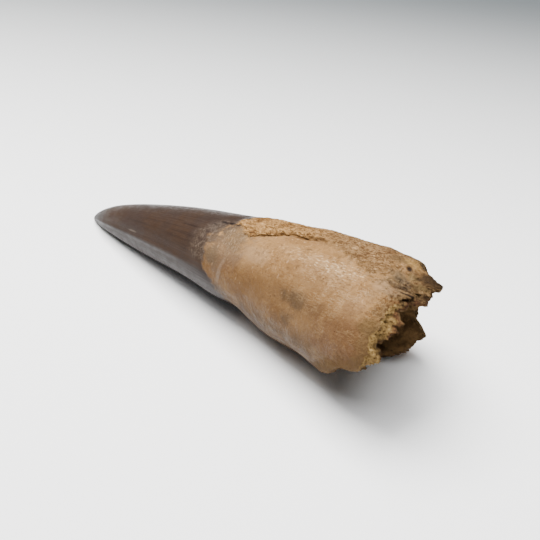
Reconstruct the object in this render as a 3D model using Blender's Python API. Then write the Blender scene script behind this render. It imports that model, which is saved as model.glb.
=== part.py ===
import math

import bmesh
import bpy
from mathutils import Vector, noise

# A fossil tooth of a fish-eating dinosaur lying on its side: brown enamel
# crown, tan root, and a broken open root end round the pulp hollow.
# Metres, +Z up. The tip points to -X and the broken end to +X.

MM = 0.001

# Overall form
TAPER_LENGTH = 120.0 * MM
HALF_WIDTH_AT_TAPER_END = 19.3 * MM
TAPER_POWER = 0.575
HEIGHT_RATIO_TIP = 0.90
HEIGHT_RATIO_ROOT = 0.93
SIDEWAYS_BOW = 2.7 * MM
TIP_WEAR = 0.9 * MM

# Underside, measured as the height of the lowest line of each section
UNDERSIDE_CROWN = -0.25 * MM
UNDERSIDE_MIDDLE = 0.25 * MM
UNDERSIDE_ROOT = -0.55 * MM

# Crown details
RIDGE_HEIGHT = 0.55 * MM
RIDGE_NEAR_ANGLE = 15.0
RIDGE_FAR_ANGLE = -165.0
RIDGE_HALF_ANGLE = 6.5
RIDGE_END = 61.0 * MM
ENAMEL_STEP = 0.40 * MM
ENAMEL_STEP_LENGTH = 1.4 * MM

# Root details
CRUST_HEIGHT = 0.85 * MM
CRUST_START_THINNING = 0.45
CRUST_EDGE_WANDER = 2.5
CRUST_START = 65.0 * MM
CRUST_END = 119.0 * MM
CRUST_FAR_ANGLE = 152.0
CREASE_DEPTH = 0.40 * MM
SHOULDER_HEIGHT = 0.55 * MM
SHOULDER_ANGLE = 68.0
SHOULDER_SPREAD = 13.0
LUMP_SIZE = 11.0 * MM
LUMP_HEIGHT = 0.45 * MM
GRAIN_SIZE = 3.2 * MM
GRAIN_HEIGHT = 0.30 * MM
LEDGE_STARTS = (115.5 * MM, 120.0 * MM)
LEDGE_DROP = 0.60 * MM
LEDGE_ANGLE = 80.0
LEDGE_SPREAD = 22.0
FLAKE_START = 119.5 * MM
FLAKE_DROP = 1.00 * MM

# Broken end and pulp hollow
WALL_THICKNESS = 3.0 * MM
WALL_EXTRA_NEAR = 0.8 * MM
THICK_WALL_ANGLE = 38.0
THICK_WALL_SPREAD = 30.0
WALL_BROKEN_EXTRA = 1.0 * MM
LIP_EXTRA = 1.3 * MM
LIP_ANGLE = 46.0
LIP_SPREAD = 12.0
HOLLOW_END = 86.0 * MM
HOLLOW_NARROWING = 0.82
HOLLOW_TAPER_POWER = 2.2
JAG_LENGTH = 0.90 * MM

# Mesh counts
AROUND = 72
RINGS_NEAR_END = 14
RINGS_INSIDE = 9
LAST_EVEN_STATION = 97.0 * MM

# Angles go round each section in degrees: 0 faces -Y, 90 is the top,
# 180 faces +Y and -90 is the underside.

# How far the enamel reaches from the tip, by angle
ENAMEL_REACH = (
    (-180, 67.5), (-140, 70.0), (-90, 72.0), (-45, 72.0), (-10, 70.5), (5, 67.5), (15, 63.5),
    (25, 61.5), (40, 60.0), (58, 58.5), (78, 59.0), (94, 61.0), (108, 63.0), (124, 66.0),
    (150, 67.0), (180, 67.5),
)

# How far the broken end reaches from the tip, by angle
BREAK_REACH = (
    (-180, 116.0), (-170, 115.5), (-160, 114.0), (-154, 115.0), (-147, 119.5), (-140, 117.8),
    (-126, 117.0), (-114, 114.0), (-102, 111.0), (-90, 107.5), (-78, 105.0), (-62, 103.0),
    (-48, 103.2), (-36, 105.0), (-25, 108.0), (-12, 110.6), (-4, 112.9), (5, 115.5), (12, 118.2),
    (18, 121.1), (24, 121.5), (34, 120.4), (42, 121.1), (52, 120.9), (66, 121.0), (73, 122.0),
    (80, 124.0), (87, 125.0), (94, 124.5), (100, 125.0), (106, 125.5), (111, 124.5), (115, 121.5),
    (120, 117.5), (130, 117.0), (145, 117.0), (160, 116.5), (180, 116.0),
)

# Lower edge of the crust on top of the root: distance from the tip, angle
CRUST_LOWER_EDGE = (
    (60, 100), (65, 88), (72, 76), (76, 83), (83, 96), (91, 101), (95, 99), (101, 92), (109, 84),
    (116, 79), (130, 78),
)

# Distances of the sections from the tip
STATIONS = (
    0.5, 1.3, 2.4, 4.0, 6.0, 8.5, 11.5, 15, 19, 23, 27, 31, 35, 39, 43, 47, 51, 54, 56.5, 59, 61.5,
    64, 66.5, 69, 71.5, 74, 77, 80, 83, 86, 89, 92, 94.5, 97,
)

# Broad swellings and hollows of the root: distance, angle, length, width angle, height
SWELLINGS = (
    (97.0, 34.0, 6.5, 13.0, -0.55),
    (88.0, 62.0, 9.0, 14.0, 0.35),
    (78.0, 28.0, 7.0, 15.0, 0.25),
    (108.0, 20.0, 6.0, 14.0, 0.35),
    (70.0, 55.0, 3.5, 14.0, -0.25),
    (118.0, 98.0, 1.9, 6.0, -1.20),
    (112.0, 56.0, 2.2, 5.0, -0.30),
    (84.0, -5.0, 7.0, 14.0, -0.35),
    (95.0, 150.0, 9.0, 18.0, -0.50),
    (104.0, -140.0, 8.0, 18.0, 0.40),
    (80.0, -150.0, 8.0, 20.0, 0.35),
    (97.0, 124.0, 15.0, 26.0, 1.50),
    (111.0, 112.0, 6.0, 18.0, 0.30),
    (54.0, -36.0, 15.0, 20.0, -0.90),
    (70.0, 112.0, 8.0, 22.0, 0.50),
    (72.5, -38.0, 5.5, 20.0, -1.70),
    (101.0, -36.0, 10.0, 18.0, -1.30),
)


def smooth(edge0, edge1, value):
    """Smooth change from 0 at edge0 to 1 at edge1."""
    t = min(max((value - edge0) / (edge1 - edge0), 0.0), 1.0)
    return t * t * (3.0 - 2.0 * t)


def read_table(table, key):
    """Value of a table of pairs at a key, joined by straight lines."""
    for (x0, y0), (x1, y1) in zip(table, table[1:]):
        if key <= x1:
            return y0 + (y1 - y0) * (key - x0) / (x1 - x0)
    return table[-1][1]


def turn(angle, centre):
    """Signed angle between two directions, in degrees."""
    return (angle - centre + 180.0) % 360.0 - 180.0


def half_width(s):
    """Half of the width of the section at distance s from the tip."""
    return HALF_WIDTH_AT_TAPER_END * (s / TAPER_LENGTH) ** TAPER_POWER


def height_ratio(s):
    """Height of a section over its width."""
    return HEIGHT_RATIO_TIP + (HEIGHT_RATIO_ROOT - HEIGHT_RATIO_TIP) * s / TAPER_LENGTH


def underside(s):
    """Height of the lowest line of the section before it is worn flat."""
    low = UNDERSIDE_CROWN + (UNDERSIDE_MIDDLE - UNDERSIDE_CROWN) * smooth(20 * MM, 50 * MM, s)
    return low + (UNDERSIDE_ROOT - UNDERSIDE_MIDDLE) * smooth(70 * MM, 96 * MM, s)


def centre(s):
    """Middle of the section at distance s from the tip."""
    t = s / TAPER_LENGTH
    y = SIDEWAYS_BOW * 4.0 * t * (1.0 - t)
    z = half_width(s) * height_ratio(s) + underside(s)
    return Vector((s - TAPER_LENGTH / 2, y, z))


def enamel_reach(angle):
    """Distance from the tip at which the enamel ends."""
    ragged = noise.noise(Vector((angle / 7.0, 3.1, 8.2)))
    return (read_table(ENAMEL_REACH, angle) + 1.1 * ragged) * MM


def break_reach(angle):
    """Distance from the tip at which the outer face of the root is broken off."""
    jag = noise.noise(Vector((angle / 5.5, 1.7, 4.4)))
    return read_table(BREAK_REACH, angle) * MM + JAG_LENGTH * jag


def crust_amount(s, angle):
    """How much of the crust covers a place, 0 to 1."""
    wander = CRUST_EDGE_WANDER * noise.noise(Vector((s / (4.0 * MM), 0.5, 0.5)))
    lower = read_table(CRUST_LOWER_EDGE, s / MM) + wander
    start = CRUST_START + abs(turn(angle, 98.0)) * 0.05 * MM
    end = CRUST_END + 2.0 * MM * noise.noise(Vector((angle / 6.0, 7.7, 0.3)))
    amount = smooth(start - 1.5 * MM, start + 1.5 * MM, s) * (1.0 - smooth(end - 1.0 * MM, end + 1.0 * MM, s))
    amount *= smooth(lower - 3.0, lower + 3.0, angle)
    return amount * (1.0 - smooth(CRUST_FAR_ANGLE - 14.0, CRUST_FAR_ANGLE, angle))


def crease_amount(s, angle):
    """How deep the crease under the edge of the crust is at a place, 0 to 1."""
    away = turn(angle, read_table(CRUST_LOWER_EDGE, s / MM) - 5.0)
    return math.exp(-(away / 4.0) ** 2) * smooth(68 * MM, 73 * MM, s) * (1.0 - smooth(100 * MM, 108 * MM, s))


def relief(s, angle):
    """Height of the surface above the plain taper, at a distance and an angle."""
    rise = 0.0
    for ridge in (RIDGE_NEAR_ANGLE, RIDGE_FAR_ANGLE):
        across = max(0.0, 1.0 - abs(turn(angle, ridge)) / RIDGE_HALF_ANGLE)
        along = smooth(1.5 * MM, 9 * MM, s) * (1.0 - smooth(RIDGE_END - 10 * MM, RIDGE_END, s))
        rise += RIDGE_HEIGHT * across * along
    enamel_end = enamel_reach(angle)
    root = smooth(enamel_end - ENAMEL_STEP_LENGTH / 2, enamel_end + ENAMEL_STEP_LENGTH / 2, s)
    rise += ENAMEL_STEP * (1.0 - root) * smooth(0.0, 12 * MM, s)
    crust = crust_amount(s, angle)
    thin = CRUST_START_THINNING * (1.0 - smooth(CRUST_START, CRUST_START + 12 * MM, s))
    rise += CRUST_HEIGHT * (1.0 - thin) * crust
    rise -= CREASE_DEPTH * crease_amount(s, angle)
    shoulder = math.exp(-(turn(angle, SHOULDER_ANGLE) / SHOULDER_SPREAD) ** 2)
    rise += SHOULDER_HEIGHT * shoulder * smooth(78 * MM, 92 * MM, s) * (1.0 - smooth(108 * MM, 118 * MM, s))
    for at, facing, long, wide, height in SWELLINGS:
        away = ((s / MM - at) / long) ** 2 + (turn(angle, facing) / wide) ** 2
        rise += height * MM * math.exp(-away)
    outward = Vector((0.0, -math.cos(math.radians(angle)), math.sin(math.radians(angle))))
    place = centre(s) + half_width(s) * outward
    rise += LUMP_HEIGHT * root * noise.noise(place / LUMP_SIZE)
    rough = 0.25 * root + 0.75 * crust + 0.5 * smooth(104 * MM, 116 * MM, s)
    rise += GRAIN_HEIGHT * rough * noise.noise(place / GRAIN_SIZE + Vector((5.0, 2.0, 9.0)))
    top = math.exp(-(turn(angle, LEDGE_ANGLE) / LEDGE_SPREAD) ** 2)
    for first in LEDGE_STARTS:
        edge = first + 2.5 * MM * noise.noise(Vector((angle / 4.0, first / MM, 2.2)))
        rise -= LEDGE_DROP * top * smooth(edge - 0.6 * MM, edge + 0.6 * MM, s)
    flake = smooth(88.0, 98.0, angle) * (1.0 - smooth(125.0, 140.0, angle))
    rise -= FLAKE_DROP * flake * smooth(FLAKE_START - 1.0 * MM, FLAKE_START + 1.0 * MM, s)
    return rise


def surface_point(s, angle, inward):
    """Point on the section at distance s, moved inward from the outer face."""
    a = half_width(s)
    b = a * height_ratio(s)
    c = math.cos(math.radians(angle))
    d = math.sin(math.radians(angle))
    out = Vector((0.0, -c / a, d / b)).normalized()
    point = centre(s) + Vector((0.0, -a * c, b * d)) + out * (relief(s, angle) - inward)
    point.z = max(point.z, 0.0)
    return point


def wall(angle):
    """Thickness of the root wall at the broken end."""
    uneven = 0.5 * MM * noise.noise(Vector((angle / 20.0, 9.1, 1.2)))
    near = math.exp(-(turn(angle, THICK_WALL_ANGLE) / THICK_WALL_SPREAD) ** 2)
    return WALL_THICKNESS + WALL_EXTRA_NEAR * near + uneven


def inner_lip(angle):
    """How far the inner layers of the wall stand out past its outer face."""
    return WALL_BROKEN_EXTRA + LIP_EXTRA * math.exp(-(turn(angle, LIP_ANGLE) / LIP_SPREAD) ** 2)


def hollow_point(v, angle):
    """Point on the wall of the pulp hollow, v from 0 at the break to 1 at its end."""
    mouth = break_reach(angle) + inner_lip(angle)
    s = mouth + (HOLLOW_END - mouth) * v
    c = math.cos(math.radians(angle))
    d = math.sin(math.radians(angle))
    middle = centre(s)
    a = half_width(s) - wall(angle)
    b = half_width(s) * height_ratio(s) - wall(angle)
    narrow = 1.0 - HOLLOW_NARROWING * v ** HOLLOW_TAPER_POWER
    place = Vector((0.0, -a * c, b * d)) * narrow
    place *= 1.0 + 0.06 * noise.noise((middle + place) / (5.0 * MM))
    return middle + place


def make_material(name, color, roughness):
    """Plain solid colour for the whole tooth."""
    material = bpy.data.materials.new(name)
    material.use_nodes = True
    shader = material.node_tree.nodes["Principled BSDF"]
    shader.inputs["Base Color"].default_value = (*color, 1.0)
    shader.inputs["Roughness"].default_value = roughness
    material.diffuse_color = (*color, 1.0)
    return material


def make_tooth():
    """One closed body: outer face, broken edge and pulp hollow."""
    mesh = bmesh.new()
    angles = [-180.0 + 360.0 * k / AROUND for k in range(AROUND)]
    rings = []
    for station in STATIONS:
        rings.append([surface_point(station * MM, angle, 0.0) for angle in angles])
    for i in range(1, RINGS_NEAR_END + 1):
        v = i / RINGS_NEAR_END
        ring = []
        for angle in angles:
            s = LAST_EVEN_STATION + (break_reach(angle) - LAST_EVEN_STATION) * v
            ring.append(surface_point(s, angle, 0.0))
        rings.append(ring)
    # The broken edge of the wall stands out unevenly between its two faces
    for part, push in ((0.2, 0.45), (0.6, 1.0)):
        ring = []
        for k, angle in enumerate(angles):
            reach = break_reach(angle)
            outer = surface_point(reach, angle, 0.0)
            inner = hollow_point(0.0, angle)
            spongy = noise.noise(Vector((angle / 4.0, part * 7.0, 6.0)))
            point = outer.lerp(inner, part)
            point.x = reach - TAPER_LENGTH / 2 + inner_lip(angle) * push * (1.0 + 0.9 * spongy)
            ring.append(point)
        rings.append(ring)
    for i in range(RINGS_INSIDE):
        v = i / (RINGS_INSIDE - 1)
        rings.append([hollow_point(v, angle) for angle in angles])

    tip = mesh.verts.new(centre(0.35 * MM) + Vector((0.35 * MM - TIP_WEAR * 0.3, 0.0, 0.0)))
    rows = []
    for ring in rings:
        rows.append([mesh.verts.new(point) for point in ring])
    for k in range(AROUND):
        nxt = (k + 1) % AROUND
        mesh.faces.new((tip, rows[0][nxt], rows[0][k]))
        for lower, upper in zip(rows, rows[1:]):
            mesh.faces.new((lower[k], lower[nxt], upper[nxt], upper[k]))
    middle = sum((vert.co for vert in rows[-1]), Vector()) / AROUND
    bottom = mesh.verts.new(middle - Vector((1.5 * MM, 0.0, 0.0)))
    for k in range(AROUND):
        mesh.faces.new((rows[-1][k], rows[-1][(k + 1) % AROUND], bottom))

    # The frame is the middle of the underside of the finished tooth
    low = Vector([min(vert.co[i] for vert in mesh.verts) for i in range(3)])
    high = Vector([max(vert.co[i] for vert in mesh.verts) for i in range(3)])
    shift = Vector(((low.x + high.x) / 2, (low.y + high.y) / 2, low.z))
    bmesh.ops.translate(mesh, verts=mesh.verts, vec=-shift)
    bmesh.ops.triangulate(mesh, faces=mesh.faces)
    bmesh.ops.recalc_face_normals(mesh, faces=mesh.faces)
    data = bpy.data.meshes.new("tooth")
    mesh.to_mesh(data)
    mesh.free()
    for polygon in data.polygons:
        polygon.use_smooth = True
    return bpy.data.objects.new("tooth", data)


def main():
    for old in list(bpy.data.objects):
        bpy.data.objects.remove(old, do_unlink=True)
    group = bpy.data.collections.new("spinosaurus_tooth")
    bpy.context.scene.collection.children.link(group)
    tooth = make_tooth()
    tooth.data.materials.append(make_material("fossil_tooth", (0.300, 0.190, 0.120), 0.55))
    group.objects.link(tooth)


main()
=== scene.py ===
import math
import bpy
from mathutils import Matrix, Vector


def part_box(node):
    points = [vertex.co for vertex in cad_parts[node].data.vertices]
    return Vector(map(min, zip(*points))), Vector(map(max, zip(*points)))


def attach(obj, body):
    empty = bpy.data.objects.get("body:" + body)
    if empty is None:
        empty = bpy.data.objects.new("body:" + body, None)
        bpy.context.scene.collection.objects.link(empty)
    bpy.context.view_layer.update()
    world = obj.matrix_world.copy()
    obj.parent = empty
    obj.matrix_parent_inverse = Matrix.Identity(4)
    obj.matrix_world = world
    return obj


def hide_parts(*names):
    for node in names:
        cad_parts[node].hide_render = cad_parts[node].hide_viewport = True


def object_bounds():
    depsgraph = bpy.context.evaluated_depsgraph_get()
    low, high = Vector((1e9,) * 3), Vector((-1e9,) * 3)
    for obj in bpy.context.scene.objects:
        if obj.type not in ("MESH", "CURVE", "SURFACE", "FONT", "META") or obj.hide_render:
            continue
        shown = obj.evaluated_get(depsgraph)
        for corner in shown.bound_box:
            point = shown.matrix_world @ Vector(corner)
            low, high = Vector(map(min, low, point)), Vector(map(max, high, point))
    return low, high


bl_info = {
    "name": "Fossil Spinosaurus Tooth",
    "version": (1, 0, 0),
    "blender": (4, 5, 0),
    "location": "View3D > Sidebar > Fossil Tooth",
    "description": "Gives the fossil tooth its fine surface and its finish, and sets it on a pale floor",
    "category": "Object",
}

import bpy
from bpy.props import FloatProperty, FloatVectorProperty, PointerProperty
from mathutils import Vector, noise

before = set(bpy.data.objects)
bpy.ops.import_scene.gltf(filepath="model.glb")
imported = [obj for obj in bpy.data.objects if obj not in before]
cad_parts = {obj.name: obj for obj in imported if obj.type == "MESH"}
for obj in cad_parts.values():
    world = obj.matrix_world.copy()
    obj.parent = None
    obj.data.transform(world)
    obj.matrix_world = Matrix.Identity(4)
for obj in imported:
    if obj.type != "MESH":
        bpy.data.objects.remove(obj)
CAD_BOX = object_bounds()

MM = 0.001

# Points of the solid's mesh closer than this are one point, and its facets are rounded so often
MERGE_DISTANCE = 0.02 * MM
ROUNDING_LEVELS = 2

TIP_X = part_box("tooth")[0][0]

# The plain taper of the tooth, measured along it from the tip
TAPER_LENGTH = 120.0 * MM
HALF_WIDTH_AT_TAPER_END = 19.3 * MM
TAPER_POWER = 0.575
HEIGHT_RATIO_TIP = 0.90
HEIGHT_RATIO_ROOT = 0.93
SIDEWAYS_BOW = 2.7 * MM
MIDDLE_Y = -0.23 * MM

# Angles go round the tooth in degrees: 0 faces -Y, 90 is the top, 180 faces +Y
TOP_ANGLE = 90.0
RIDGE_NEAR_ANGLE = 15.0
CRUST_FAR_ANGLE = 152.0

# How degrees and millimetres compare: round the root, and round the crown where its enamel ends
DEGREES_PER_MM = 3.0
MM_PER_DEGREE = 0.22

# How far the enamel reaches from the tip in millimetres, by angle
ENAMEL_REACH = (
    (-180, 67.5), (-140, 70.0), (-90, 72.0), (-45, 72.0), (-10, 70.5), (5, 67.5), (15, 63.5),
    (25, 61.5), (40, 60.0), (58, 59.0), (70, 60.5), (82, 62.5), (94, 64.0), (108, 65.5), (124, 67.0),
    (150, 67.0), (180, 67.5),
)

# Over how many millimetres the enamel gives way to the root, by angle
ENAMEL_EDGE_WIDTH = (
    (-180, 2.0), (5, 2.4), (16, 0.9), (50, 0.7), (62, 2.2), (92, 1.6), (105, 0.8), (180, 0.8),
)

# How far the broken end reaches from the tip in millimetres, by angle
BREAK_REACH = (
    (-180, 116.0), (-170, 115.5), (-160, 114.0), (-154, 115.0), (-147, 119.5), (-140, 117.8),
    (-126, 117.0), (-114, 114.0), (-102, 111.0), (-90, 107.5), (-78, 105.0), (-62, 103.0),
    (-48, 103.2), (-36, 105.0), (-25, 108.0), (-12, 110.6), (-4, 112.9), (5, 115.5), (12, 118.2),
    (18, 121.1), (24, 121.5), (34, 120.4), (42, 121.1), (52, 120.9), (66, 121.0), (73, 122.0),
    (80, 124.0), (87, 125.0), (94, 124.5), (100, 125.0), (106, 125.5), (111, 124.5), (115, 121.5),
    (120, 117.5), (130, 117.0), (145, 117.0), (160, 116.5), (180, 116.0),
)

# Lower edge of the crust: millimetres from the tip, angle
CRUST_LOWER_EDGE = (
    (60, 100), (65, 88), (72, 76), (76, 83), (83, 96), (91, 101), (95, 99), (101, 92), (109, 84),
    (116, 79), (130, 78),
)

# How far these edges wave: the first two in millimetres, the crust's in degrees
ENAMEL_EDGE_WAVE = 1.1
BREAK_EDGE_WAVE = 0.9
CRUST_EDGE_WAVE = 2.5

# The pulp hollow begins this many millimetres from the tip and stays within this share of the way out
HOLLOW_START = 84.0
HOLLOW_OUTERMOST = 0.93

# Bands that masks fade in and out of: millimetres from the tip, or degrees round the tooth
CREVICE_ALONG = (70.0, 76.0, 88.0, 97.0)
SCUFF_ROUND = (22.0, 32.0, 88.0, 96.0)
SPLINTERS_ALONG = (112.0, 119.0)
SPLINTERS_ROUND = (64.0, 76.0, 92.0, 100.0)

# The side that lies on the floor keeps the flat of the solid, which fades out over these heights
FLAT_FADE = (0.1 * MM, 1.5 * MM)

# The top of the root is split into layers that run along it, each overlapping the one below
SPLIT_ANGLE = 70.0
SPLIT_SPACING = 7.0
SPLIT_SLANT = 0.12
SPLIT_WAVE = 1.1
SPLIT_DEPTH = 0.9 * MM

# The root wall breaks in layers of about this thickness, each with wide and fine unevenness
LAYER_THICKNESS = 0.9 * MM
WIDE_RAGGEDNESS = 0.55
FINE_RAGGEDNESS = 0.45
TONGUE_EDGE = 0.02

# Where the broken edge is more or less ragged than elsewhere: angle, spread, by how much
RAGGED_PLACES = ((84.0, 14.0, 0.5), (106.0, 9.0, -0.6))

# Layers of the broken rim: angle, half width, inner and outer share of the way out, shift in millimetres
RIM_TONGUES = (
    (104.0, 6.0, 0.84, 1.20, 2.4),
    (97.0, 2.2, 0.84, 1.20, -1.2),
    (91.0, 3.5, 0.82, 1.20, 1.8),
    (83.0, 4.0, 0.60, 0.85, 3.0),
    (76.0, 3.0, 0.60, 0.90, -1.4),
    (57.0, 4.0, 0.60, 0.85, 3.0),
    (50.0, 3.0, 0.60, 0.84, 2.8),
    (23.0, 6.0, 0.60, 0.97, 2.2),
    (11.0, 4.0, 0.80, 1.20, 1.6),
    (6.0, 3.5, 0.60, 1.20, 2.0),
    (-141.0, 5.0, 0.60, 1.20, 1.0),
)

# Masks that the relief reads as vertex groups, and those that the finish reads as attributes
RELIEF_MASKS = ("root", "crust", "crevice", "broken", "hollow", "pitted", "splinters")
FINISH_MASKS = (
    "past_enamel", "crust_cover", "crevice_shade", "scuff", "pitted_cover", "splinter_cover",
    "layer_gap_shade", "past_break", "broken_wall", "inside",
)


def smooth(edge0, edge1, value):
    """Smooth change from 0 at edge0 to 1 at edge1."""
    t = min(max((value - edge0) / (edge1 - edge0), 0.0), 1.0)
    return t * t * (3.0 - 2.0 * t)


def band(value, rise_start, rise_end, fall_start, fall_end):
    """Smooth rise from 0 to 1 and fall back to 0."""
    return smooth(rise_start, rise_end, value) * (1.0 - smooth(fall_start, fall_end, value))


def read_table(table, key):
    """Value of a table of pairs at a key, joined by straight lines."""
    for (x0, y0), (x1, y1) in zip(table, table[1:]):
        if key <= x1:
            return y0 + (y1 - y0) * (key - x0) / (x1 - x0)
    return table[-1][1]


def turn(angle, centre):
    """Signed angle between two directions, in degrees."""
    return (angle - centre + 180.0) % 360.0 - 180.0


def bell(value, middle, spread):
    """1 at the middle, falling smoothly to 0 on both sides."""
    return math.exp(-((value - middle) / spread) ** 2)


def drift(x, y, z):
    """Smooth noise at a place, from about -1 to 1."""
    return noise.noise(Vector((x, y, z)))


def on_tooth(point):
    """Millimetres from the tip, angle round the tooth and share of the way out from its middle."""
    along = point.x - TIP_X
    t = max(along, 0.1 * MM) / TAPER_LENGTH
    half_width = HALF_WIDTH_AT_TAPER_END * t ** TAPER_POWER
    half_height = half_width * (HEIGHT_RATIO_TIP + (HEIGHT_RATIO_ROOT - HEIGHT_RATIO_TIP) * t)
    side = (point.y - MIDDLE_Y - SIDEWAYS_BOW * 4.0 * t * (1.0 - t)) / half_width
    rise = (point.z - half_height) / half_height
    return along / MM, math.degrees(math.atan2(rise, -side)), math.hypot(side, rise)


class ToothForm(bpy.types.PropertyGroup):
    """How fine the tooth is modelled and how deep its relief is."""

    detail: FloatProperty(
        name="Detail Size",
        description="Edge length of the fine surface",
        default=0.41 * MM,
        min=0.2 * MM,
        subtype="DISTANCE",
        unit="LENGTH",
        precision=5,
    )
    crust_relief: FloatProperty(
        name="Crust Relief",
        description="Depth of the wrinkles in the crust on the root",
        default=0.24 * MM,
        subtype="DISTANCE",
        unit="LENGTH",
        precision=5,
    )
    break_relief: FloatProperty(
        name="Break Relief",
        description="Depth of the spongy hollows on the broken wall",
        default=0.8 * MM,
        subtype="DISTANCE",
        unit="LENGTH",
        precision=5,
    )
    jag: FloatProperty(
        name="Jagged Edge",
        description="How far layers of the wall stand out of the broken edge",
        default=1.9 * MM,
        subtype="DISTANCE",
        unit="LENGTH",
        precision=5,
    )


class ToothFinish(bpy.types.PropertyGroup):
    """Colours of the fossil."""

    enamel: FloatVectorProperty(
        name="Enamel",
        description="Brown of the crown",
        default=(0.026, 0.0165, 0.0125),
        subtype="COLOR",
        min=0.0,
        max=1.0,
    )
    root: FloatVectorProperty(
        name="Root",
        description="Tan of the polished root on top",
        default=(0.218, 0.118, 0.043),
        subtype="COLOR",
        min=0.0,
        max=1.0,
    )
    root_side: FloatVectorProperty(
        name="Root Side",
        description="Browner tan of the root's near side",
        default=(0.204, 0.112, 0.046),
        subtype="COLOR",
        min=0.0,
        max=1.0,
    )
    crust: FloatVectorProperty(
        name="Crust",
        description="Golden tan of the rough crust",
        default=(0.320, 0.172, 0.060),
        subtype="COLOR",
        min=0.0,
        max=1.0,
    )
    fracture: FloatVectorProperty(
        name="Fracture",
        description="Ochre of the broken wall",
        default=(0.190, 0.116, 0.040),
        subtype="COLOR",
        min=0.0,
        max=1.0,
    )


class StudioSettings(bpy.types.PropertyGroup):
    """Floor, lights and camera."""

    floor: FloatVectorProperty(
        name="Floor",
        description="Colour of the floor round the tooth",
        default=(0.93, 0.93, 0.93),
        subtype="COLOR",
        min=0.0,
        max=1.0,
    )
    # Painted shade: the floor's colour darkens to this behind the tooth
    far_floor_painted_shade: FloatVectorProperty(
        name="Far Floor",
        description="Colour that the floor shades to behind the tooth",
        default=(0.088, 0.098, 0.103),
        subtype="COLOR",
        min=0.0,
        max=1.0,
    )
    key_power: FloatProperty(
        name="Key Power",
        description="Strength of the window-like light on the tip's side",
        default=17.0,
        unit="POWER",
    )
    overhead_power: FloatProperty(
        name="Overhead Power",
        description="Strength of the wide light overhead",
        default=12.0,
        unit="POWER",
    )
    view_angle: FloatProperty(
        name="Field of View",
        description="Field of view of the camera",
        default=math.radians(40.0),
        subtype="ANGLE",
        unit="ROTATION",
    )


def deselect_all():
    """Goes to object mode with nothing selected."""
    if bpy.context.object and bpy.context.object.mode != "OBJECT":
        bpy.ops.object.mode_set(mode="OBJECT")
    bpy.ops.object.select_all(action="DESELECT")


def make_active(piece):
    """Selects one piece alone."""
    deselect_all()
    piece.select_set(True)
    bpy.context.view_layer.objects.active = piece


def copy_of_node(name, piece_name):
    """A copy of a CAD node's mesh as a piece of its own, with its triangles joined."""
    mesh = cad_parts[name].data.copy()
    mesh.name = piece_name
    mesh.materials.clear()
    piece = bpy.data.objects.new(piece_name, mesh)
    bpy.context.scene.collection.objects.link(piece)
    make_active(piece)
    bpy.ops.object.mode_set(mode="EDIT")
    bpy.ops.mesh.select_all(action="SELECT")
    bpy.ops.mesh.remove_doubles(threshold=MERGE_DISTANCE)
    bpy.ops.mesh.tris_convert_to_quads()
    bpy.ops.object.mode_set(mode="OBJECT")
    return piece


def refine(piece, edge):
    """Rounds the facets of the piece and gives it an even fine mesh."""
    rounding = piece.modifiers.new("rounding", "SUBSURF")
    rounding.levels = ROUNDING_LEVELS
    rounding.render_levels = ROUNDING_LEVELS
    bpy.ops.object.modifier_apply(modifier=rounding.name)
    even = piece.modifiers.new("even mesh", "REMESH")
    even.mode = "VOXEL"
    even.voxel_size = edge
    even.use_smooth_shade = True
    bpy.ops.object.modifier_apply(modifier=even.name)


def share_of_layer(along, angle):
    """How far a place is across its split layer, 0 at the lower edge and 1 under the next one."""
    wave = SPLIT_WAVE * drift(along / 5.0, angle / 9.0, 6.6)
    climb = (angle - SPLIT_ANGLE) / SPLIT_SPACING + along * SPLIT_SLANT + wave
    return climb - math.floor(climb)


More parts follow.
